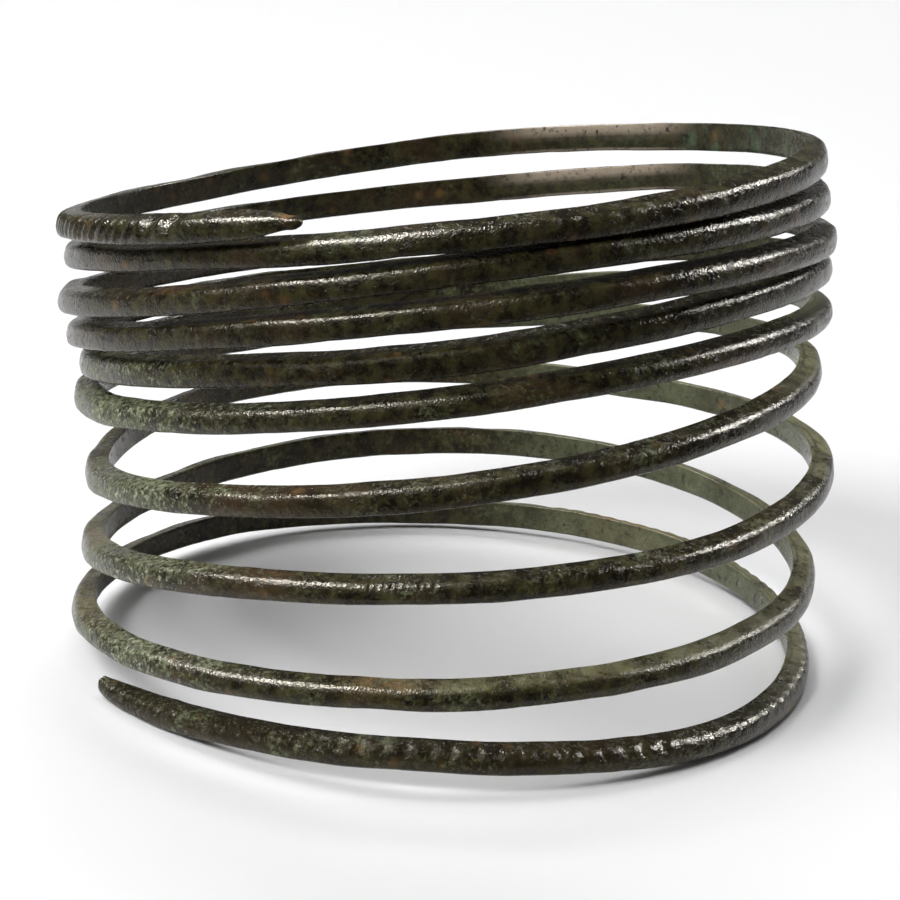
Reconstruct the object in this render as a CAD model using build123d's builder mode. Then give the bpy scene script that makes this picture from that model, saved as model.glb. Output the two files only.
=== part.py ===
from build123d import *
import os
from math import cos, radians, sin

# Spiral coil bracelet: one flattened bronze wire wound a little over nine times round the arm.
# Millimetres, +Z up. It stands on its lowest turn and the origin is the middle of its footprint.
# The front faces -Y. Going down, the wire runs from the front to the left, the back and the right.

# Driving sizes
outer_diameter = 80.0
wire_height = 2.9
wire_thickness = 2.45
widest_gap = 9.0

# Rounding of the wire's section
inner_edge_radius = 0.14
shoulder_radius = 0.75
shoulder_drop = 0.3
lower_edge_radius = 0.5
outer_bulge = 0.08

# Where the wire begins and ends, in degrees round the coil from its first front station
top_tip_angle = 20.1
bottom_tip_angle = 3302.0
top_taper_length = 14.0
bottom_taper_length = 11.5

# Ornament near the top end: two wide scallops, then a row of narrow cuts across the outer face
scallop_count = 2
scallop_spacing = 3.2
scallop_top_drop = 0.09
scallop_shoulder_radius = 1.4
groove_count = 20
groove_spacing = 1.6
groove_depth = 0.16
groove_shoulder_radius = 1.0

# Ornament near the bottom end: a row of dimples punched into the shoulder
dimple_count = 66
dimple_spacing = 2.15
dimple_shoulder_radius = 1.45

# Clear gap under each turn at eight stations round the coil, as a share of the widest gap.
# A row is one turn, from the top down. Under the last two rows lies the surface where no turn does.
# front, front_left, left, back_left, back, back_right, right, front_right
gap_rows = (
    (0.03, 0.02, 0.06, 0.13, 0.26, 0.18, 0.12, 0.02),
    (0.04, 0.17, 0.23, 0.25, 0.23, 0.18, 0.15, 0.11),
    (0.12, 0.07, 0.07, 0.02, 0.11, 0.10, 0.04, 0.07),
    (0.17, 0.09, 0.02, 0.02, 0.04, 0.12, 0.20, 0.19),
    (0.14, 0.19, 0.06, 0.02, 0.03, 0.18, 0.39, 0.65),
    (0.70, 0.61, 0.59, 0.34, 0.42, 0.73, 0.91, 0.97),
    (0.75, 0.57, 0.60, 0.73, 0.61, 0.72, 1.00, 0.95),
    (0.89, 0.70, 0.43, 0.45, 0.66, 0.68, 0.71, 0.70),
    (0.43, 0.39, 0.34, 0.15, 0.05, 0.11, 0.02, 0.02),
    (0.21, 0.00),
)
# Height of the wire's middle line at the bottom tip, as a share of the wire's height
bottom_tip_middle = 0.22

# Reach of each turn from the axis at the same stations, as a share of the mean radius
reach_rows = (
    (1.040, 1.040, 1.030, 1.005, 0.985, 0.965, 0.955, 0.970),
    (0.985, 1.000, 1.015, 1.005, 0.995, 0.980, 0.970, 0.980),
    (0.990, 1.010, 1.030, 1.015, 1.000, 0.995, 0.995, 1.000),
    (1.000, 1.005, 1.005, 0.995, 0.995, 0.990, 0.990, 0.990),
    (0.985, 0.980, 0.970, 0.980, 0.990, 0.995, 1.000, 1.000),
    (0.995, 0.990, 0.985, 0.985, 0.990, 0.985, 0.985, 0.980),
    (0.980, 0.970, 0.955, 0.975, 1.000, 1.020, 1.040, 1.015),
    (0.995, 0.985, 0.965, 0.985, 0.995, 0.990, 1.010, 1.005),
    (1.015, 1.015, 0.990, 0.995, 1.000, 1.000, 1.010, 1.020),
    (1.000, 0.970),
)
bottom_tip_reach = 1.010

# Height of the wire at the four quarters of each turn, as a share of its full height
# front, left, back, right
height_rows = (
    (0.94, 0.99, 1.08, 1.08),
    (0.92, 0.95, 1.09, 1.04),
    (0.98, 0.99, 1.00, 0.98),
    (0.98, 0.99, 1.00, 1.00),
    (1.07, 1.01, 0.98, 0.90),
    (0.93, 1.01, 0.99, 0.92),
    (0.97, 1.00, 1.02, 1.00),
    (0.88, 1.04, 1.13, 0.98),
    (0.91, 0.90, 1.10, 1.02),
    (0.92, 0.92),
)

# Shape of the two ends: distance from the tip as a share of the taper's length, then the wire's
# thickness, its height and how far its top edge drops, as shares of the full wire
top_end_rows = (
    (0.00, 0.30, 0.22, 0.38),
    (0.02, 0.50, 0.36, 0.31),
    (0.06, 0.58, 0.42, 0.28),
    (0.10, 0.54, 0.42, 0.27),
    (0.14, 0.60, 0.50, 0.22),
    (0.20, 0.72, 0.60, 0.15),
    (0.28, 0.82, 0.74, 0.09),
    (0.42, 0.92, 0.88, 0.03),
    (0.68, 0.98, 0.98, 0.00),
    (1.00, 1.00, 1.00, 0.00),
)
bottom_end_rows = (
    (0.00, 0.30, 0.44, 0.14),
    (0.05, 0.45, 0.56, 0.14),
    (0.16, 0.64, 0.67, 0.13),
    (0.40, 0.84, 0.78, 0.12),
    (0.70, 0.95, 0.88, 0.08),
    (1.00, 1.00, 1.00, 0.00),
)

stations_per_turn = 8
station_angle = 360 / stations_per_turn
sections_per_turn = 16
spreading_sections = 3
mean_radius = (outer_diameter - wire_thickness) / 2
gap_shares = [share for row in gap_rows for share in row]
reach_shares = [share for row in reach_rows for share in row]
height_shares = [share for row in height_rows for share in row]
last_station = len(gap_shares) - 1
tip_station = bottom_tip_angle / station_angle


def height_at(station):
    """Height of the wire, shared evenly between two quarters."""
    before = int(station // 2)
    rest = station / 2 - before
    share = (1 - rest) * height_shares[before] + rest * height_shares[before + 1]
    return wire_height * share


def lift(station):
    """Height of the wire's underside: its own gap and every wire and gap that lies under it."""
    height = gap_shares[station] * widest_gap
    below = station + stations_per_turn
    if below <= last_station:
        height += height_at(below) + lift(below)
    return height


def station_point(station, reach_share, height):
    """A point on the wire's middle line."""
    angle = radians(-90 - station * station_angle)
    radius = mean_radius * reach_share
    return (radius * cos(angle), radius * sin(angle), height)


# The wire's middle line, half a full wire below its top edge
station_points = [
    station_point(k, reach_shares[k], lift(k) + height_at(k) - wire_height / 2)
    for k in range(last_station + 1)
]
bottom_tip_height = bottom_tip_middle * wire_height
station_points.append(station_point(tip_station, bottom_tip_reach, bottom_tip_height))
with BuildLine() as middle_line:
    Spline(*station_points)
wire_line = middle_line.edge()
top_tip_length = mean_radius * radians(top_tip_angle)
wire_length = wire_line.length - top_tip_length


def cross_plane(line_share):
    """Upright plane square to the wire: x points away from the axis and y points up."""
    heading = wire_line.tangent_at(line_share)
    level_heading = Vector(heading.X, heading.Y, 0).normalized()
    outward = Vector(0, 0, 1).cross(level_heading)
    return Plane(wire_line.position_at(line_share), x_dir=outward, z_dir=level_heading)


def wire_section(
    from_top_tip,
    thickness_share=1.0,
    height_share=1.0,
    top_drop=0.0,
    top_radius=shoulder_radius,
    outer_cut=0.0,
):
    """One section: flat inside, a sloping top facet, a round shoulder and a bulged outer face."""
    inside = -wire_thickness * thickness_share / 2
    outside = wire_thickness * thickness_share / 2 - outer_cut
    line_share = (top_tip_length + from_top_tip) / wire_line.length
    top = wire_height / 2 - top_drop * wire_height
    bottom = top - height_at(line_share * tip_station) * height_share
    end_scale = min(thickness_share, height_share)
    edge = inner_edge_radius * end_scale
    shoulder = top_radius * end_scale
    lower = lower_edge_radius * end_scale
    facet_end = top - shoulder_drop * height_share
    face_top = facet_end - shoulder
    face_bottom = bottom + lower
    face_middle = (face_top + face_bottom) / 2
    turned = 1 - cos(radians(45))
    with BuildSketch(cross_plane(line_share)) as section:
        with BuildLine():
            Line((inside, face_bottom), (inside, top - edge))
            Line((inside, top - edge), (inside + edge, top))
            Line((inside + edge, top), (outside - shoulder, facet_end))
            ThreePointArc(
                (outside - shoulder, facet_end),
                (outside - turned * shoulder, facet_end - turned * shoulder),
                (outside, face_top),
            )
            ThreePointArc(
                (outside, face_top),
                (outside + outer_bulge * end_scale, face_middle),
                (outside, face_bottom),
            )
            ThreePointArc(
                (outside, face_bottom),
                (outside - turned * lower, bottom + turned * lower),
                (outside - lower, bottom),
            )
            Line((outside - lower, bottom), (inside + lower, bottom))
            ThreePointArc(
                (inside + lower, bottom),
                (inside + turned * lower, bottom + turned * lower),
                (inside, face_bottom),
            )
        make_face()
    return section.sketch


# Where the ornament and the tapers lie, measured along the wire from the top tip
scallops_start = top_taper_length + scallop_spacing / 2
grooves_start = scallops_start + scallop_count * scallop_spacing
grooves_end = grooves_start + groove_count * groove_spacing
dimples_end = wire_length - bottom_taper_length - dimple_spacing / 2
dimples_start = dimples_end - dimple_count * dimple_spacing
turn_length = wire_line.length * 360 / bottom_tip_angle


def spreading(spacing):
    """Distances from an ornament of sections that lie wider and wider apart beside it."""
    return [spacing * (2**k - 1) for k in range(1, spreading_sections + 1)]


plain_start = grooves_end + spreading(groove_spacing)[-1]
plain_end = dimples_start - spreading(dimple_spacing)[-1]
plain_count = round((plain_end - plain_start) / (turn_length / sections_per_turn))
plain_spacing = (plain_end - plain_start) / plain_count

# Sections from the top tip to the bottom tip, two for each scallop, groove and dimple
sections = [
    wire_section(along * top_taper_length, thickness, height, drop)
    for along, thickness, height, drop in top_end_rows
]
for k in range(scallop_count):
    scallop = scallops_start + k * scallop_spacing
    sections.append(
        wire_section(
            scallop,
            height_share=1 - scallop_top_drop,
            top_drop=scallop_top_drop,
            top_radius=scallop_shoulder_radius,
        )
    )
    sections.append(wire_section(scallop + scallop_spacing / 2))
for k in range(groove_count):
    groove = grooves_start + k * groove_spacing
    sections.append(
        wire_section(groove, top_radius=groove_shoulder_radius, outer_cut=groove_depth)
    )
    sections.append(wire_section(groove + groove_spacing / 2))
sections += [wire_section(grooves_end + far) for far in spreading(groove_spacing)]
sections += [wire_section(plain_start + k * plain_spacing) for k in range(1, plain_count)]
sections += [wire_section(dimples_start - far) for far in reversed(spreading(dimple_spacing))]
for k in range(dimple_count):
    dimple = dimples_start + k * dimple_spacing
    sections.append(wire_section(dimple, top_radius=dimple_shoulder_radius))
    sections.append(wire_section(dimple + dimple_spacing / 2))
sections += [
    wire_section(wire_length - along * bottom_taper_length, thickness, height, drop)
    for along, thickness, height, drop in reversed(bottom_end_rows)
]

# The whole bracelet is one solid
with BuildPart() as coil:
    loft(sections)

# Seat it on the surface with the origin in the middle of its footprint
footprint = coil.part.bounding_box()
seat = Location((-footprint.center().X, -footprint.center().Y, -footprint.min.Z))
bracelet = coil.part.moved(seat)
bracelet.label = "coil"

os.makedirs("parts", exist_ok=True)
export_step(bracelet, "parts/coil.step")
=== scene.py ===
from math import ceil, pi

import bpy
import numpy as np
from mathutils import Matrix, Vector


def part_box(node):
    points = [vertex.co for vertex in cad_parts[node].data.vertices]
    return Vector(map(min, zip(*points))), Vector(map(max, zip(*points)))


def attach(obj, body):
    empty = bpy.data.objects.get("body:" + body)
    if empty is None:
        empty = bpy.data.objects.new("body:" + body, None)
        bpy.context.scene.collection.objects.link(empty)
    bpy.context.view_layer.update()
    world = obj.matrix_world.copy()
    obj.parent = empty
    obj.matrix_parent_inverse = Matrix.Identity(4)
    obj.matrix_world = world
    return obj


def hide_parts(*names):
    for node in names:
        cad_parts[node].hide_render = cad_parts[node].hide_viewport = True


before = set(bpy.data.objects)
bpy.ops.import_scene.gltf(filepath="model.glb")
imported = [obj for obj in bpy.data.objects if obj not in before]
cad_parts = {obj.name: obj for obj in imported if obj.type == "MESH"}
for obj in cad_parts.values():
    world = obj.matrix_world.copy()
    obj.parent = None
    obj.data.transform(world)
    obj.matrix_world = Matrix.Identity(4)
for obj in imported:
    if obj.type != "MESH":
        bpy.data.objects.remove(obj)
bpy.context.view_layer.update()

# Spiral coil bracelet of patinated bronze wire. Metres, the CAD frame.
MM = 0.001

# Sizes of the coil in millimetres, as the CAD has them, but for a rounder shoulder
OUTER_DIAMETER = 80.0
WIRE_HEIGHT = 2.9
WIRE_THICKNESS = 2.45
WIDEST_GAP = 9.0
INNER_EDGE_RADIUS = 0.14
SHOULDER_RADIUS = 1.05
SHOULDER_DROP = 0.3
LOWER_EDGE_RADIUS = 0.5
OUTER_BULGE = 0.08
TOP_TAPER = 14.0
BOTTOM_TAPER = 11.5
MEAN_RADIUS = (OUTER_DIAMETER - WIRE_THICKNESS) / 2

# Where the wire begins and ends, in degrees round the coil from its first front station
TOP_TIP_ANGLE = 20.1
BOTTOM_TIP_ANGLE = 3302.0
STATIONS_PER_TURN = 8
STATION_ANGLE = 360 / STATIONS_PER_TURN
TIP_STATION = BOTTOM_TIP_ANGLE / STATION_ANGLE

# Clear gap under each turn at eight stations, as a share of the widest gap, from the top down
# front, front_left, left, back_left, back, back_right, right, front_right
GAP_ROWS = (
    (0.03, 0.02, 0.06, 0.13, 0.26, 0.18, 0.12, 0.02),
    (0.04, 0.17, 0.23, 0.25, 0.23, 0.18, 0.15, 0.11),
    (0.12, 0.07, 0.07, 0.02, 0.11, 0.10, 0.04, 0.07),
    (0.17, 0.09, 0.02, 0.02, 0.04, 0.12, 0.20, 0.19),
    (0.14, 0.19, 0.06, 0.02, 0.03, 0.18, 0.39, 0.65),
    (0.70, 0.61, 0.59, 0.34, 0.42, 0.73, 0.91, 0.97),
    (0.75, 0.57, 0.60, 0.73, 0.61, 0.72, 1.00, 0.95),
    (0.89, 0.70, 0.43, 0.45, 0.66, 0.68, 0.71, 0.70),
    (0.43, 0.39, 0.34, 0.15, 0.05, 0.11, 0.02, 0.02),
    (0.21, 0.00),
)
# Height of the wire's middle line at the bottom tip, as a share of the wire's height
BOTTOM_TIP_MIDDLE = 0.22

# Reach of each turn from the axis at the same stations, as a share of the mean radius
REACH_ROWS = (
    (1.040, 1.040, 1.030, 1.005, 0.985, 0.965, 0.955, 0.970),
    (0.985, 1.000, 1.015, 1.005, 0.995, 0.980, 0.970, 0.980),
    (0.990, 1.010, 1.030, 1.015, 1.000, 0.995, 0.995, 1.000),
    (1.000, 1.005, 1.005, 0.995, 0.995, 0.990, 0.990, 0.990),
    (0.985, 0.980, 0.970, 0.980, 0.990, 0.995, 1.000, 1.000),
    (0.995, 0.990, 0.985, 0.985, 0.990, 0.985, 0.985, 0.980),
    (0.980, 0.970, 0.955, 0.975, 1.000, 1.020, 1.040, 1.015),
    (0.995, 0.985, 0.965, 0.985, 0.995, 0.990, 1.010, 1.005),
    (1.015, 1.015, 0.990, 0.995, 1.000, 1.000, 1.010, 1.020),
    (1.000, 0.970),
)
BOTTOM_TIP_REACH = 1.010

# Height of the wire at the four quarters of each turn, as a share of its full height
# front, left, back, right
HEIGHT_ROWS = (
    (0.94, 0.99, 1.08, 1.08),
    (0.92, 0.95, 1.09, 1.04),
    (0.98, 0.99, 1.00, 0.98),
    (0.98, 0.99, 1.00, 1.00),
    (1.07, 1.01, 0.98, 0.90),
    (0.93, 1.01, 0.99, 0.92),
    (0.97, 1.00, 1.02, 1.00),
    (0.88, 1.04, 1.13, 0.98),
    (0.91, 0.90, 1.10, 1.02),
    (0.92, 0.92),
)

# Shape of the two ends: distance from the tip as a share of the taper, then thickness, height and
# how far the top edge drops, as shares of the full wire
TOP_END_ROWS = (
    (0.00, 0.08, 0.07, 0.45),
    (0.01, 0.30, 0.22, 0.38),
    (0.03, 0.52, 0.38, 0.30),
    (0.06, 0.58, 0.42, 0.28),
    (0.10, 0.54, 0.42, 0.27),
    (0.14, 0.60, 0.50, 0.22),
    (0.20, 0.74, 0.63, 0.15),
    (0.28, 0.85, 0.79, 0.09),
    (0.42, 0.95, 0.95, 0.03),
    (0.68, 0.99, 1.00, 0.00),
    (1.00, 1.00, 1.00, 0.00),
)
BOTTOM_END_ROWS = (
    (0.00, 0.30, 0.48, 0.11),
    (0.01, 0.38, 0.52, 0.11),
    (0.05, 0.47, 0.58, 0.12),
    (0.16, 0.64, 0.67, 0.13),
    (0.40, 0.84, 0.78, 0.12),
    (0.70, 0.95, 0.88, 0.08),
    (1.00, 1.00, 1.00, 0.00),
)

# Points of the section, going round from the foot of the inner face: shares along the straight
# faces, and degrees round the rounded edges
INNER_FACE_SHARES = (0.0, 0.25, 0.5, 0.75, 1.0)
INNER_EDGE_CUT = 0.35
FACET_SHARES = (0.0, 0.3, 0.65)
SHOULDER_TURNS = (90, 72, 54, 36, 18, 0)
OUTER_FACE_SHARES = (0.2, 0.4, 0.6, 0.8)
OUTER_LOWER_TURNS = (0, 30, 60, 90)
INNER_LOWER_TURNS = (90, 60, 30)
# The point near the inner edge of the top facet, after the inner face, its edge and the facet's first
FACET_COLUMN = len(INNER_FACE_SHARES) + 2

# Unevenness along the wire: length of a noise cell in millimetres and its seed, then how much of it
# each part of the section takes, as shares but for the top edge, which is in millimetres
WAVER = (6.0, 5)
FLARE = (9.0, 6)
SHOULDER_CHANGE = (5.0, 7)
INNER_WAVER = 0.02
TOP_WAVER = 0.06
OUTER_FLARE = 0.03
SHOULDER_SPREAD = 0.25

# Worn surface: length of a noise cell and depth in millimetres, cells round the wire, and a seed.
# Pits lie where their noise, which goes up to 1, is above a limit
HAMMERED_CELL = 3.2
HAMMERED_DEPTH = 0.045
HAMMERED_ROUNDS = 5
HAMMERED_SEED = 21
PITTED_CELL = 1.7
PITTED_DEPTH = 0.05
PITTED_ROUNDS = 11
PITTED_SEED = 22
PITS_ABOVE = 0.25
NOISE_CELLS = 4096

# Ornament along the wire: places, lengths and depths in millimetres. A jitter is a share of the
# spacing, and a spread is the least and the greatest share of a mark's full size
ORNAMENT_SEED = 11
DEPTH_SPREAD = (0.7, 1.15)
# The marks centre this far inside the shoulder. Their depth falls off from this share, but is 1 at most
SHOULDER_INSET = 0.25
SHOULDER_FADE = 1.25
SCALLOP_PLACES = (14.1, 16.9)
SCALLOP_HALF_LENGTH = 1.25
SCALLOP_DEPTH = 0.42
SCALLOP_REACH = 1.7
GROOVE_START = 19.4
GROOVE_COUNT = 20
GROOVE_SPACING = 1.6
GROOVE_HALF_WIDTH = 0.38 * GROOVE_SPACING
GROOVE_JITTER = 0.14
GROOVE_DEPTH = 0.28
GROOVE_SLANT = 0.32
# The row keeps its full depth halfway, and fades from there by half
GROOVE_FADE = 1.5
DIMPLE_START_FROM_TIP = 11.0
DIMPLE_COUNT = 66
DIMPLE_SPACING = 2.15
DIMPLE_JITTER = 0.1
DIMPLE_HALF_LENGTH = 0.72
DIMPLE_LENGTH_SPREAD = (0.85, 1.15)
DIMPLE_REACH = 0.75
DIMPLE_DEPTH = 0.30
# From the tip on, this many dimples are deep, and the others keep a share of the depth
DEEP_DIMPLES = 26
SHALLOW_SHARE = 0.4
# Where the grooves and the ring marks set in and are full, in millimetres across or up the section
GROOVES_OUTWARD = (0.35, 0.85)
GROOVES_UPWARD = (-1.2, -0.5)
PUNCH_OUTWARD = (0.3, 0.6)

# Small ring marks punched under the shoulder: the first one's place in turns from the first front
# station, and millimetres
PUNCH_TURN = 7.003
PUNCH_COUNT = 5
PUNCH_SPACING = 1.35
PUNCH_DROP = 0.1
PUNCH_RADIUS = 0.42
PUNCH_RING_WIDTH = 0.13
PUNCH_DEPTH = 0.18

# Points on the middle line, and how far to either side in millimetres its direction is taken
LINE_SAMPLES = 24000
HEADING_REACH = 0.5

# Steps along the wire and the stretches that they cover, in millimetres
TOP_TIP_LENGTH = 1.0
BOTTOM_TIP_LENGTH = 1.5
PUNCH_MARGIN = 1.0
TIP_STEP = 0.08
TAPER_STEP = 0.3
PLAIN_STEP = 0.84
GROOVE_STEP = 0.2
DIMPLE_STEP = 0.27

# Flat map of the wire: strips side by side that fill a share of their room, and the two tips as
# small discs in its corners
STRIP_COUNT = 30
STRIP_FILL = 0.92
TIP_MAP_PLACES = (0.002, 0.996)
TIP_MAP_RADIUS = 0.0015

# Where the patina and the painted sheen change. Of four values, a tone sets in over the first two and
# fades over the last two; of two values, it is absent at the first and full at the second.
# Sides are degrees round the coil from the front, to the left or to the right as the name says
LEFT_SIDE = (30, 75, 140, 175)
RIGHT_SIDE = (48, 88, 155, 179)
CRUST_LEFT = (28, 52, 66, 88)
FRONT_LEFT = (18, 45, 70, 90)
# Sides where the painted sheen, a light colour standing in for a reflection, shows inside at the back
# right
PAINTED_SHEEN_SIDES = (131, 146, 163, 177)
BRIGHT_RIGHT = (95, 112, 128, 150)
LIT_FRONT_RIGHT = (-15, 10)
# Turns from the first front station
LIT_FRONT_TURNS = (7.6, 7.8, 8.6, 8.8)
LOW_TURNS = (3.7, 4.6)
# Painted sheen: full on the turns above 2.0, gone from 2.2 on
PAINTED_SHEEN_TURNS = (2.2, 2.0)
BARE_TURNS = (8.75, 8.95)
# Darker colour on the lowest turn: none before turn 8.78, full from 8.88 on
LOWEST_TURN_SPAN = (8.78, 8.88)
BRIGHT_END_TURN = 1.0
# How far the surface faces up, inward or outward, from -1 to 1
FACET_UPWARD = (0.45, 0.85)
INNER_INWARD = (0.4, 0.8)
OUTER_OUTWARD = (0.3, 0.7)
# Share of the way round the wire, from the foot of the inner face
INNER_UPPER_HALF = (0.10, 0.22)

# How strongly the tones show: khaki on the left, khaki and chalk on the upper turns, khaki on the lit
# front, crust on the facet, how much of it the bare turns lose, and ochre anywhere, on the facet and
# on the inner face
KHAKI_LEFT = 0.3
KHAKI_HIGH_TURNS = 0.25
CHALKY_HIGH_TURNS = 0.2
KHAKI_LIT_FRONT = 0.75
CRUST_FACET = 0.9
BARE_LOSS = 0.75
OCHRE_ANYWHERE, OCHRE_FACET, OCHRE_INNER = 0.1, 0.9, 0.2

# Stained places: middle and half length in turns from the first front station, then how strongly
# ochre and brown show
PATCH_ROWS = (
    (0.062, 0.003, 2.0, 0.0),
    (2.120, 0.012, 0.8, 0.0),
    (6.086, 0.012, 0.0, 1.0),
    (7.072, 0.014, 0.2, 0.9),
    (7.214, 0.020, 0.8, 0.1),
    (8.020, 0.015, 0.8, 0.0),
    (8.210, 0.030, 0.6, 0.1),
    (8.597, 0.030, 0.9, 0.4),
    (8.930, 0.060, 0.1, 0.4),
    (9.090, 0.050, 0.0, 0.6),
)

# Noise of the patina: cells in a metre, detail and roughness
MOTTLE = (650, 6, 0.68)
GRAIN = (4600, 1.5, 0.5)
LUMPS = (1100, 1.5, 0.5)
SPECK = (2100, 4, 0.7)
PATCH = (230, 6, 0.65)
STAIN = (110, 4, 0.55)
PITS = (1500, 4, 0.65)
SPOT_CELLS = 300

# Colours of the patina, and of a painted sheen
BLACK_BROWN = (0.008, 0.006, 0.003)
OLIVE = (0.040, 0.036, 0.013)
STAIN_BROWN = (0.042, 0.025, 0.012)
# Near black, for the darker lowest turn
LOWEST_TURN_DARK = (0.010, 0.008, 0.004)
FLECK_GREEN = (0.115, 0.125, 0.060)
KHAKI = (0.150, 0.146, 0.058)
CHALKY_GREEN = (0.104, 0.116, 0.066)
# Painted sheen: light brown-grey standing in for a soft reflection high on the inner face at the back
# right
PAINTED_SHEEN_COLOUR = (0.400, 0.330, 0.255)
SEAM_DARK = (0.018, 0.016, 0.009)
CRUST_GREEN = (0.138, 0.162, 0.082)
PALE_CRUST = (0.40, 0.43, 0.31)
BRIGHT_GREEN = (0.085, 0.155, 0.085)
OCHRE = (0.190, 0.100, 0.032)
PIT_DARK = (0.006, 0.005, 0.003)
GLOSS_TINT = (1.0, 0.93, 0.80)
SHEET_WHITE = (0.86, 0.86, 0.87)

# The floor's two parts: near and far edge in metres, and whether it throws light on the coil. The
# front one throws none, as in a dark room
FLOOR_HALF_WIDTH = 1
FLOOR_ROWS = (
    ("studio_floor", -0.068, 0.9, True),
    ("studio_floor_front", -1.5, -0.068, False),
)

# Lamps: direction from the coil, distance, width and height in metres, radiance, and whether each
# gives plain light and shows in gloss
LAMP_ROWS = (
    ("high_left", (-0.56, -0.38, 0.74), 1.5, (1.30, 1.10), 2.1, True, True),
    ("key", (-0.48, -0.44, 0.76), 1.45, (0.66, 0.52), 13.0, True, False),
    ("key_shine", (-0.47, 0.07, 0.88), 1.45, (0.72, 0.50), 95.0, False, True),
    ("right_shine", (0.74, 0.34, 0.60), 1.6, (0.66, 0.25), 100.0, False, True),
    ("far_sheet", (0.0, 0.62, 0.78), 2.1, (2.0, 1.2), 5.0, True, False),
)
LAMPS_FACE_HEIGHT = 0.03
ROOM_STRENGTH = 0.1

# The photo's camera: metres from the axis, above the floor and to the right, and radians
CAMERA_DISTANCE = 0.29966
CAMERA_HEIGHT = 0.11763
CAMERA_SIDE = 0.00039
CAMERA_DOWNWARD = 0.308
CAMERA_ROLL = 0.04
# Its lens in pixels of the picture, its sensor in millimetres, and the nearest metres that it shows
FOCAL_PIXELS = 2930
PICTURE_PIXELS = 900
SENSOR_WIDTH = 36
CAMERA_NEAREST = 0.01


def height_at(stations):
    """Height of the wire, shared evenly between two quarters."""
    quarters = [share for row in HEIGHT_ROWS for share in row]
    return WIRE_HEIGHT * np.interp(np.asarray(stations) / 2, range(len(quarters)), quarters)


def lift(station, shares):
    """Height of the wire's underside: its own gap and every wire and gap that lies under it."""
    height = shares[station] * WIDEST_GAP
    below = station + STATIONS_PER_TURN
    if below < len(shares):
        height += height_at(below) + lift(below, shares)
    return height


def station_points():
    """Places round the coil, in stations, and the wire's middle line there."""
    gaps = [share for row in GAP_ROWS for share in row]
    reach = [share for row in REACH_ROWS for share in row]
    stations = range(len(gaps))
    heights = [lift(k, gaps) + height_at(k) - WIRE_HEIGHT / 2 for k in stations]
    places = np.array([*stations, TIP_STATION])
    heights = np.array([*heights, BOTTOM_TIP_MIDDLE * WIRE_HEIGHT])
    radii = MEAN_RADIUS * np.array([*reach, BOTTOM_TIP_REACH])
    angles = np.radians(-90 - places * STATION_ANGLE)
    return places, np.stack([radii * np.cos(angles), radii * np.sin(angles), heights], axis=1)


def smooth_line(knots, points, at):
    """The natural cubic spline through the points, read at the given places."""
    gaps = np.diff(knots)
    slopes = np.diff(points, axis=0) / gaps[:, None]
    count = len(knots)
    system = np.zeros((count, count))
    right = np.zeros_like(points)
    system[0, 0] = system[-1, -1] = 1
    for k in range(1, count - 1):
        system[k, k - 1] = gaps[k - 1]
        system[k, k] = 2 * (gaps[k - 1] + gaps[k])
        system[k, k + 1] = gaps[k]
        right[k] = 6 * (slopes[k] - slopes[k - 1])
    bend = np.linalg.solve(system, right)
    k = np.clip(np.searchsorted(knots, at, side="right") - 1, 0, count - 2)
    after = (at - knots[k])[:, None]
    before = (knots[k + 1] - at)[:, None]
    width = gaps[k][:, None]
    return (
        (bend[k] * before**3 + bend[k + 1] * after**3) / (6 * width)
        + (points[k] / width - bend[k] * width / 6) * before
        + (points[k + 1] / width - bend[k + 1] * width / 6) * after
    )


def wire_line():
    """Distances from the top tip, the middle line and the stations there."""
    knots, points = station_points()
    stations = np.linspace(TOP_TIP_ANGLE / STATION_ANGLE, TIP_STATION, LINE_SAMPLES)
    line = smooth_line(knots, points, stations)
    steps = np.linalg.norm(np.diff(line, axis=0), axis=1)
    return np.concatenate([[0], np.cumsum(steps)]), line, stations


def soft_noise(along, around, seed, rounds):
    """Smooth noise from -1 to 1 that closes round the wire; along and around count noise cells."""
    table = np.random.RandomState(seed).uniform(-1, 1, (NOISE_CELLS, rounds))
    i, j = np.floor(along).astype(int), np.floor(around).astype(int)
    u, v = along - i, around - j
    u, v = u * u * (3 - 2 * u), v * v * (3 - 2 * v)
    i_next, j_next = (i + 1) % NOISE_CELLS, (j + 1) % rounds
    i, j = i % NOISE_CELLS, j % rounds
    low = table[i, j] * (1 - v) + table[i, j_next] * v
    high = table[i_next, j] * (1 - v) + table[i_next, j_next] * v
    return low * (1 - u) + high * u


def uneven(places, cell, seed):
    """Smooth noise along the wire only."""
    return soft_noise(places / cell, 0 * places, seed, 1)


def rise(values, start, end):
    """0 up to the start, 1 from the end on and straight between; the end may be the lower one."""
    return np.clip((values - start) / (end - start), 0, 1)


def ring_places(length, punch_start):
    """Distances of the rings from the top tip, closer together where the wire has ornament."""
    groove_end = GROOVE_START + GROOVE_COUNT * GROOVE_SPACING
    dimple_start = length - DIMPLE_START_FROM_TIP - DIMPLE_COUNT * DIMPLE_SPACING
    punch_end = punch_start + PUNCH_COUNT * PUNCH_SPACING
    stretches = (
        (0.0, TOP_TIP_LENGTH, TIP_STEP),
        (TOP_TIP_LENGTH, TOP_TAPER, TAPER_STEP),
        (TOP_TAPER, groove_end, GROOVE_STEP),
        (groove_end, punch_start - PUNCH_MARGIN, PLAIN_STEP),
        (punch_start - PUNCH_MARGIN, punch_end + PUNCH_MARGIN, GROOVE_STEP),
        (punch_end + PUNCH_MARGIN, dimple_start, PLAIN_STEP),
        (dimple_start, length - BOTTOM_TIP_LENGTH, DIMPLE_STEP),
        (length - BOTTOM_TIP_LENGTH, length, TIP_STEP),
    )
    places = []
    for start, end, step in stretches:
        count = ceil((end - start) / step)
        places.extend(start + (end - start) * np.arange(count) / count)
    return np.array([*places, length])


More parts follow.
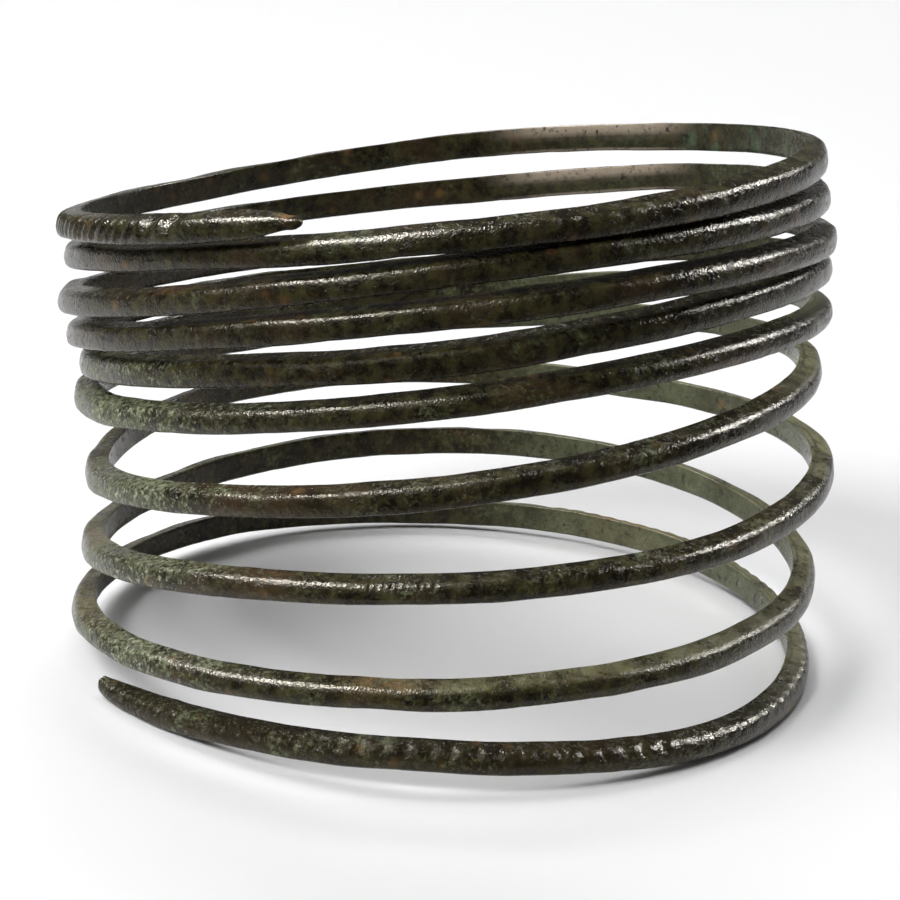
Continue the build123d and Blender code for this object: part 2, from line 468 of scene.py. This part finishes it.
def end_shapes(places, length):
    """Thickness, height and top drop of every ring, as shares of the full wire."""
    top = np.array(TOP_END_ROWS)
    bottom = np.array(BOTTOM_END_ROWS)
    shapes = []
    for column in (1, 2, 3):
        from_top = np.interp(places / TOP_TAPER, top[:, 0], top[:, column])
        from_bottom = np.interp((length - places) / BOTTOM_TAPER, bottom[:, 0], bottom[:, column])
        shapes.append(np.where(places < length / 2, from_top, from_bottom))
    return shapes


def section_points(places, length, full_height):
    """Section outlines, rings by points: outward and upward from the wire's middle line."""
    thickness, height, drop = end_shapes(places, length)
    scale = np.minimum(thickness, height)
    waver = uneven(places, *WAVER)
    flare = uneven(places, *FLARE)
    inside = -WIRE_THICKNESS / 2 * thickness * (1 + INNER_WAVER * waver)
    outside = WIRE_THICKNESS / 2 * thickness * (1 + OUTER_FLARE * flare)
    top = WIRE_HEIGHT * (0.5 - drop) + TOP_WAVER * waver * scale
    bottom = top - full_height * height * (1 + OUTER_FLARE * flare)
    edge = INNER_EDGE_RADIUS * scale
    shoulder_change = uneven(places, *SHOULDER_CHANGE)
    shoulder = SHOULDER_RADIUS * scale * (1 + SHOULDER_SPREAD * shoulder_change)
    lower = LOWER_EDGE_RADIUS * scale
    facet_end = top - SHOULDER_DROP * height
    face_top = facet_end - shoulder
    face_bottom = bottom + lower
    columns = []
    for share in INNER_FACE_SHARES:
        columns.append((inside, face_bottom + share * (top - edge - face_bottom)))
    columns.append((inside + INNER_EDGE_CUT * edge, top - INNER_EDGE_CUT * edge))
    reach = (outside - shoulder) - (inside + edge)
    for share in FACET_SHARES:
        columns.append((inside + edge + share * reach, top + share * (facet_end - top)))
    for turn in np.radians(SHOULDER_TURNS):
        columns.append(
            (outside - shoulder * (1 - np.cos(turn)), face_top + shoulder * np.sin(turn))
        )
    for share in OUTER_FACE_SHARES:
        swell = OUTER_BULGE * scale * 4 * share * (1 - share)
        columns.append((outside + swell, face_top + share * (face_bottom - face_top)))
    for turn in np.radians(OUTER_LOWER_TURNS):
        columns.append(
            (outside - lower * (1 - np.cos(turn)), face_bottom - lower * np.sin(turn))
        )
    columns.append(((inside + outside) / 2, bottom))
    for turn in np.radians(INNER_LOWER_TURNS):
        columns.append(
            (inside + lower * (1 - np.cos(turn)), face_bottom - lower * np.sin(turn))
        )
    x = np.stack([column[0] for column in columns], axis=1)
    y = np.stack([column[1] for column in columns], axis=1)
    return x, y, scale


def ornament_depth(places, length, punch_start, x, y):
    """How deep each point is cut by the scallops, slanted grooves, dimples and punch marks."""
    along = places[:, None]
    shoulder_x = WIRE_THICKNESS / 2 - SHOULDER_INSET
    shoulder_y = WIRE_HEIGHT / 2 - SHOULDER_DROP - SHOULDER_INSET
    from_shoulder = np.hypot(x - shoulder_x, y - shoulder_y)
    depth = np.zeros_like(x)
    luck = np.random.RandomState(ORNAMENT_SEED)
    for place in SCALLOP_PLACES:
        near = np.clip(1 - ((along - place) / SCALLOP_HALF_LENGTH) ** 2, 0, 1)
        depth += SCALLOP_DEPTH * near * np.clip(SHOULDER_FADE - from_shoulder / SCALLOP_REACH, 0, 1)
    outer = rise(x, *GROOVES_OUTWARD) * rise(y, *GROOVES_UPWARD)
    for k in range(GROOVE_COUNT):
        jitter = luck.uniform(-GROOVE_JITTER, GROOVE_JITTER)
        place = GROOVE_START + (k + jitter) * GROOVE_SPACING
        fade = min(1.0, GROOVE_FADE - k / GROOVE_COUNT)
        slanted = along - place + GROOVE_SLANT * y
        near = np.clip(1 - (slanted / GROOVE_HALF_WIDTH) ** 2, 0, 1)
        depth += GROOVE_DEPTH * fade * luck.uniform(*DEPTH_SPREAD) * near * outer
    for k in range(DIMPLE_COUNT):
        jitter = luck.uniform(-DIMPLE_JITTER, DIMPLE_JITTER)
        place = length - DIMPLE_START_FROM_TIP - (k + jitter) * DIMPLE_SPACING
        size = DIMPLE_HALF_LENGTH * luck.uniform(*DIMPLE_LENGTH_SPREAD)
        share = 1.0 if k < DEEP_DIMPLES else SHALLOW_SHARE
        cut = DIMPLE_DEPTH * luck.uniform(*DEPTH_SPREAD) * share
        span = np.clip(1 - ((along - place) / size) ** 2, 0, 1)
        depth += cut * span * np.clip(SHOULDER_FADE - (from_shoulder / DIMPLE_REACH) ** 2, 0, 1)
    for k in range(PUNCH_COUNT):
        place = punch_start + k * PUNCH_SPACING
        from_mark = np.hypot(along - place, y - shoulder_y + PUNCH_DROP)
        ring = np.exp(-(((from_mark - PUNCH_RADIUS) / PUNCH_RING_WIDTH) ** 2))
        depth += PUNCH_DEPTH * ring * rise(x, *PUNCH_OUTWARD)
    return depth


def tube_faces(rings, count):
    """Side walls from ring to ring, and the two faces that close the tips."""
    faces = []
    for i in range(rings - 1):
        for j in range(count):
            k = (j + 1) % count
            faces.append((i * count + j, (i + 1) * count + j, (i + 1) * count + k, i * count + k))
    faces.append(tuple(range(count)))
    faces.append(tuple((rings - 1) * count + j for j in reversed(range(count))))
    return faces


def wire_mesh():
    """The wire as one closed mesh, its rings' distances and turns, its shares round, its length."""
    distances, line, stations = wire_line()
    length = distances[-1]
    punch_start = np.interp(PUNCH_TURN * STATIONS_PER_TURN, stations, distances)
    places = ring_places(length, punch_start)

    def line_at(places):
        return np.stack([np.interp(places, distances, line[:, k]) for k in range(3)], axis=1)

    middle = line_at(places)
    heading = line_at(places + HEADING_REACH) - line_at(places - HEADING_REACH)
    heading[:, 2] = 0
    heading /= np.linalg.norm(heading, axis=1)[:, None]
    outward = np.stack([-heading[:, 1], heading[:, 0], 0 * heading[:, 0]], axis=1)

    station_places = np.interp(places, distances, stations)
    x, y, scale = section_points(places, length, height_at(station_places))
    rings, count = x.shape
    round_steps = np.hypot(np.roll(x, -1, 1) - x, np.roll(y, -1, 1) - y)
    around = np.concatenate([np.zeros((rings, 1)), np.cumsum(round_steps, 1)[:, :-1]], 1)
    around /= round_steps.sum(1)[:, None]

    # Cut the ornament and the worn surface in, square to the section's outline
    across_x = np.roll(x, -1, 1) - np.roll(x, 1, 1)
    across_y = np.roll(y, -1, 1) - np.roll(y, 1, 1)
    size = np.maximum(np.hypot(across_x, across_y), 1e-9)
    out_x, out_y = -across_y / size, across_x / size
    along = places[:, None] + 0 * x
    hammered = soft_noise(
        along / HAMMERED_CELL, around * HAMMERED_ROUNDS, HAMMERED_SEED, HAMMERED_ROUNDS
    )
    pitted = soft_noise(along / PITTED_CELL, around * PITTED_ROUNDS, PITTED_SEED, PITTED_ROUNDS)
    relief = HAMMERED_DEPTH * hammered - PITTED_DEPTH * np.clip(pitted - PITS_ABOVE, 0, 1)
    relief = relief * scale[:, None]
    relief -= ornament_depth(places, length, punch_start, x, y)
    x = x + out_x * relief
    y = y + out_y * relief

    points = (
        middle[:, None, :]
        + outward[:, None, :] * x[:, :, None]
        + np.array([0, 0, 1]) * y[:, :, None]
    ).reshape(-1, 3) * MM
    mesh = bpy.data.meshes.new("coil_wire")
    mesh.from_pydata(points.tolist(), [], tube_faces(rings, count))
    mesh.update()
    return mesh, places, station_places / STATIONS_PER_TURN, around, length


def flat_layout(mesh, places, around, length):
    """A map of the wire in side-by-side strips, each about a third of a turn long."""
    rings, count = around.shape
    strip_length = length / STRIP_COUNT
    margin = (1 - STRIP_FILL) / 2
    layer = mesh.uv_layers.new(name="OFBake")
    uv = np.zeros((len(mesh.loops), 2))
    loop = 0
    for i in range(rings - 1):
        row = min(int((places[i] + places[i + 1]) / 2 / strip_length), STRIP_COUNT - 1)
        left = (places[i] / strip_length - row) * STRIP_FILL + margin
        right = (places[i + 1] / strip_length - row) * STRIP_FILL + margin
        for j in range(count):
            low = around[i, j]
            high = around[i, j + 1] if j + 1 < count else 1.0
            low = (row + margin + low * STRIP_FILL) / STRIP_COUNT
            high = (row + margin + high * STRIP_FILL) / STRIP_COUNT
            uv[loop:loop + 4] = ((left, low), (right, low), (right, high), (left, high))
            loop += 4
    for corner in TIP_MAP_PLACES:
        turn = np.linspace(0, 2 * pi, count, endpoint=False)
        uv[loop:loop + count, 0] = corner + TIP_MAP_RADIUS * np.cos(turn)
        uv[loop:loop + count, 1] = corner + TIP_MAP_RADIUS * np.sin(turn)
        loop += count
    layer.data.foreach_set("uv", uv.ravel())


def between(values, start, end):
    """A smooth step from 0 at the start to 1 at the end."""
    share = rise(values, start, end)
    return share * share * (3 - 2 * share)


def stretch(values, start, full, fading, end):
    """1 from full to fading, and a smooth step down to 0 on either side."""
    return between(values, start, full) * between(values, end, fading)


def at_least(share, values):
    """Values from 0 to 1, raised so that the share is left where they are 0."""
    return share + (1 - share) * values


def patina_zones(mesh, turns, around):
    """Point attributes that say how strongly each tone of the patina, and the painted sheen, shows."""
    rings, count = around.shape
    points = np.array([vertex.co for vertex in mesh.vertices]).reshape(rings, count, 3)
    normals = np.array([vertex.normal for vertex in mesh.vertices]).reshape(rings, count, 3)
    # Degrees round the coil from the front: left is negative and right is positive
    side = np.degrees(np.arctan2(points[:, :, 0], -points[:, :, 1]))
    turn = turns[:, None] + 0 * side
    outward = (normals[:, :, 0] * points[:, :, 0] + normals[:, :, 1] * points[:, :, 1]) / (
        np.hypot(points[:, :, 0], points[:, :, 1])
    )
    upward = normals[:, :, 2]

    # Parts of the coil
    low_turns = between(turn, *LOW_TURNS)
    left = stretch(-side, *LEFT_SIDE)
    right = stretch(side, *RIGHT_SIDE)
    facet = between(upward, *FACET_UPWARD)
    inner = between(-outward, *INNER_INWARD)
    outer = between(outward, *OUTER_OUTWARD)
    inner_upper = inner * between(around, *INNER_UPPER_HALF)

    # Tones on them
    khaki = facet * np.maximum(KHAKI_LEFT * left, right) * at_least(KHAKI_HIGH_TURNS, low_turns)
    lit_front = between(side, *LIT_FRONT_RIGHT) * stretch(turn, *LIT_FRONT_TURNS)
    khaki = np.maximum(khaki, KHAKI_LIT_FRONT * facet * lit_front)
    chalky = inner * right * at_least(CHALKY_HIGH_TURNS, low_turns)
    seam = 0 * side
    seam[:, FACET_COLUMN] = 1
    seam *= np.maximum(left, right) * low_turns
    # Painted sheen: a lighter colour high on the inner face at the back right, in place of a reflection
    painted_sheen = inner_upper * stretch(side, *PAINTED_SHEEN_SIDES) * between(turn, *PAINTED_SHEEN_TURNS)
    crust = outer * stretch(-side, *CRUST_LEFT) * low_turns
    crust = np.maximum(crust, CRUST_FACET * facet * stretch(-side, *FRONT_LEFT) * low_turns)
    crust *= 1 - BARE_LOSS * between(turn, *BARE_TURNS)
    # Darker on the lowest turn
    lowest_turn_darkening = between(turn, *LOWEST_TURN_SPAN)
    bright = stretch(side, *BRIGHT_RIGHT) * (turn < BRIGHT_END_TURN)
    ochre = 0 * side
    brown = 0 * side
    ochre_faces = OCHRE_ANYWHERE + OCHRE_FACET * facet + OCHRE_INNER * inner
    for middle, half_length, ochre_share, brown_share in PATCH_ROWS:
        near = np.exp(-(((turn - middle) / half_length) ** 2))
        ochre = np.maximum(ochre, ochre_share * near * ochre_faces)
        brown = np.maximum(brown, brown_share * near)
    for name, values in (
        ("khaki", khaki),
        ("chalky", chalky),
        ("seam", seam),
        ("painted_sheen", painted_sheen),
        ("crust", crust),
        ("lowest_turn_darkening", lowest_turn_darkening),
        ("low", low_turns),
        ("bright", bright),
        ("ochre", ochre),
        ("brown", brown),
    ):
        layer = mesh.attributes.new(name, "FLOAT", "POINT")
        layer.data.foreach_set("value", values.astype(np.float32).ravel())


def new_material(name):
    """An empty node material with its Principled shader."""
    material = bpy.data.materials.new(name)
    material.use_nodes = True
    nodes = material.node_tree.nodes
    nodes.clear()
    output = nodes.new("ShaderNodeOutputMaterial")
    shader = nodes.new("ShaderNodeBsdfPrincipled")
    material.node_tree.links.new(shader.outputs["BSDF"], output.inputs["Surface"])
    return material, shader


def bronze_patina():
    """Dark olive bronze: brown ground, granular pits, pale green patches and ochre spots."""
    material, shader = new_material("bronze_patina")
    nodes, links = material.node_tree.nodes, material.node_tree.links
    place = nodes.new("ShaderNodeTexCoord").outputs["Object"]

    def noise(scale, detail, roughness):
        node = nodes.new("ShaderNodeTexNoise")
        node.inputs["Scale"].default_value = scale
        node.inputs["Detail"].default_value = detail
        node.inputs["Roughness"].default_value = roughness
        links.new(place, node.inputs["Vector"])
        return node.outputs["Fac"]

    def ramp(source, low, high):
        node = nodes.new("ShaderNodeMapRange")
        node.inputs["From Min"].default_value = low
        node.inputs["From Max"].default_value = high
        links.new(source, node.inputs["Value"])
        return node.outputs["Result"]

    def combine(operation, first, second):
        node = nodes.new("ShaderNodeMath")
        node.operation = operation
        for socket, value in zip(node.inputs, (first, second)):
            if isinstance(value, (int, float)):
                socket.default_value = value
            else:
                links.new(value, socket)
        return node.outputs["Value"]

    def times(first, second):
        return combine("MULTIPLY", first, second)

    def plus(first, second):
        return combine("ADD", first, second)

    def blend(weight, under, over):
        node = nodes.new("ShaderNodeMix")
        node.data_type = "RGBA"
        links.new(weight, node.inputs["Factor"])
        for socket, value in ((node.inputs[6], under), (node.inputs[7], over)):
            if isinstance(value, tuple):
                socket.default_value = (*value, 1)
            else:
                links.new(value, socket)
        return node.outputs[2]

    def zone(name):
        node = nodes.new("ShaderNodeAttribute")
        node.attribute_name = name
        return node.outputs["Fac"]

    mottle = noise(*MOTTLE)
    grain = noise(*GRAIN)
    lumps = noise(*LUMPS)
    speck = noise(*SPECK)
    patch = noise(*PATCH)
    stain = noise(*STAIN)

    # Dark ground, from black-brown to olive, with brown stains, darker on the lowest turn, and green
    # flecks
    color = blend(ramp(mottle, 0.43, 0.60), BLACK_BROWN, OLIVE)
    brown = combine("MAXIMUM", times(ramp(stain, 0.52, 0.62), 0.7), zone("brown"))
    color = blend(times(brown, 0.85), color, STAIN_BROWN)
    fleck = times(ramp(speck, 0.50, 0.60), ramp(patch, 0.44, 0.56))
    # Half way towards near black on the lowest turn
    color = blend(times(zone("lowest_turn_darkening"), 0.5), color, LOWEST_TURN_DARK)
    fleck = times(fleck, plus(times(zone("low"), 0.3), 0.18))
    color = blend(fleck, color, FLECK_GREEN)

    # Khaki film on the facets, a chalky one inside on the right, a painted sheen high up inside at the
    # back right and a dark seam along the facet
    worn = ramp(plus(patch, times(speck, 0.5)), 0.62, 0.84)
    khaki = times(zone("khaki"), plus(times(worn, 0.8), 0.15))
    color = blend(khaki, color, KHAKI)
    chalky = times(zone("chalky"), plus(times(worn, 0.5), 0.45))
    color = blend(chalky, color, CHALKY_GREEN)
    # Painted sheen: light brown-grey high inside at the back right, in place of a reflection
    painted_sheen = times(zone("painted_sheen"), ramp(mottle, 0.22, 0.46))
    color = blend(times(painted_sheen, 0.9), color, PAINTED_SHEEN_COLOUR)
    seam = times(ramp(zone("seam"), 0.5, 0.8), ramp(patch, 0.40, 0.52))
    color = blend(times(seam, 0.8), color, SEAM_DARK)

    # Grey-green crust on the front left with pale grains, and brighter green at the back right
    fill = ramp(plus(patch, times(zone("crust"), 0.22)), 0.58, 0.74)
    crust = times(times(fill, ramp(speck, 0.38, 0.58)), 0.85)
    color = blend(crust, color, CRUST_GREEN)
    pale = times(ramp(speck, 0.55, 0.64), times(zone("crust"), 0.85))
    color = blend(pale, color, PALE_CRUST)
    bright = times(zone("bright"), ramp(patch, 0.50, 0.62))
    color = blend(times(bright, 0.55), color, BRIGHT_GREEN)

    # Ochre spots and stains, and dark pits
    spots = nodes.new("ShaderNodeTexVoronoi")
    spots.inputs["Scale"].default_value = SPOT_CELLS
    links.new(place, spots.inputs["Vector"])
    ochre = times(ramp(spots.outputs["Distance"], 0.24, 0.08), ramp(stain, 0.48, 0.58))
    stained = times(zone("ochre"), ramp(mottle, 0.36, 0.56))
    ochre = combine("MAXIMUM", ochre, stained)
    color = blend(times(ochre, 0.55), color, OCHRE)
    pits = ramp(noise(*PITS), 0.56, 0.66)
    color = blend(times(pits, 0.85), color, PIT_DARK)
    links.new(color, shader.inputs["Base Color"])

    # Worn smooth on the bare metal, duller on the film, on the crust and in the pits
    gloss = plus(times(ramp(mottle, 0.3, 0.7), 0.12), 0.15)
    gloss = plus(gloss, times(combine("MAXIMUM", khaki, crust), 0.32))
    gloss = plus(gloss, times(pits, 0.2))
    links.new(gloss, shader.inputs["Roughness"])
    shader.inputs["Metallic"].default_value = 0.0
    shader.inputs["Specular IOR Level"].default_value = 0.26
    shader.inputs["Specular Tint"].default_value = (*GLOSS_TINT, 1)

    relief = plus(times(grain, 0.8), times(lumps, 0.7))
    relief = combine("SUBTRACT", relief, times(pits, 0.3))
    bump = nodes.new("ShaderNodeBump")
    bump.inputs["Strength"].default_value = 1.0
    bump.inputs["Distance"].default_value = 0.00009
    links.new(relief, bump.inputs["Height"])
    links.new(bump.outputs["Normal"], shader.inputs["Normal"])
    return material


def build_coil():
    """The fine wire, seated where the CAD node is."""
    mesh, places, turns, around, length = wire_mesh()
    low, high = (Vector(corner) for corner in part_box("coil"))
    points = np.array([vertex.co for vertex in mesh.vertices])
    own_low, own_high = points.min(0), points.max(0)
    shift = (low + high) / 2 - Vector((own_low + own_high) / 2)
    shift.z = low.z - own_low[2]
    mesh.transform(Matrix.Translation(shift))
    patina_zones(mesh, turns, around)
    flat_layout(mesh, places, around, length)
    mesh.shade_smooth()
    mesh.materials.append(bronze_patina())
    wire = bpy.data.objects.new("coil_wire", mesh)
    bpy.context.scene.collection.objects.link(wire)
    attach(wire, "root")
    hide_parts("coil")


def studio_floor():
    """A pale, slightly glossy sheet under the coil, in two parts."""
    material, shader = new_material("pale_sheet")
    shader.inputs["Base Color"].default_value = (*SHEET_WHITE, 1)
    shader.inputs["Roughness"].default_value = 0.4
    shader.inputs["Specular IOR Level"].default_value = 0.3
    wide = FLOOR_HALF_WIDTH
    for name, near, far, throws_light in FLOOR_ROWS:
        mesh = bpy.data.meshes.new(name)
        corners = [(-wide, near, 0), (wide, near, 0), (wide, far, 0), (-wide, far, 0)]
        mesh.from_pydata(corners, [], [(0, 1, 2, 3)])
        mesh.materials.append(material)
        floor = bpy.data.objects.new(name, mesh)
        bpy.context.scene.collection.objects.link(floor)
        floor.visible_diffuse = throws_light
        floor.visible_glossy = throws_light


def studio_light():
    """Soft lamps that face the coil, some for plain light or for gloss alone, in a dim room."""
    for name, toward, distance, size, radiance, plain, gloss in LAMP_ROWS:
        lamp = bpy.data.lights.new(name, "AREA")
        lamp.shape = "RECTANGLE"
        lamp.size, lamp.size_y = size
        lamp.energy = radiance * pi * size[0] * size[1]
        direction = Vector(toward).normalized()
        holder = bpy.data.objects.new(name, lamp)
        holder.location = direction * distance + Vector((0, 0, LAMPS_FACE_HEIGHT))
        holder.rotation_euler = (-direction).to_track_quat("-Z", "Y").to_euler()
        holder.visible_diffuse = plain
        holder.visible_glossy = gloss
        bpy.context.scene.collection.objects.link(holder)
    world = bpy.data.worlds.new("dim_room")
    bpy.context.scene.world = world
    world.use_nodes = True
    background = world.node_tree.nodes["Background"]
    background.inputs["Color"].default_value = (1, 1, 1, 1)
    background.inputs["Strength"].default_value = ROOM_STRENGTH


def photo_camera():
    """The camera of the photo, looking down a little and slightly rolled."""
    camera = bpy.data.cameras.new("photo_camera")
    camera.sensor_width = SENSOR_WIDTH
    camera.lens = FOCAL_PIXELS / PICTURE_PIXELS * SENSOR_WIDTH
    camera.clip_start = CAMERA_NEAREST
    holder = bpy.data.objects.new("photo_camera", camera)
    tilt = Matrix.Rotation(pi / 2 - CAMERA_DOWNWARD, 4, "X")
    turn = tilt @ Matrix.Rotation(CAMERA_ROLL, 4, "Z")
    place = Matrix.Translation((CAMERA_SIDE, -CAMERA_DISTANCE, CAMERA_HEIGHT))
    holder.matrix_world = place @ turn
    bpy.context.scene.collection.objects.link(holder)
    bpy.context.scene.camera = holder


build_coil()
studio_floor()
studio_light()
photo_camera()
bpy.context.scene.view_settings.view_transform = "Standard"
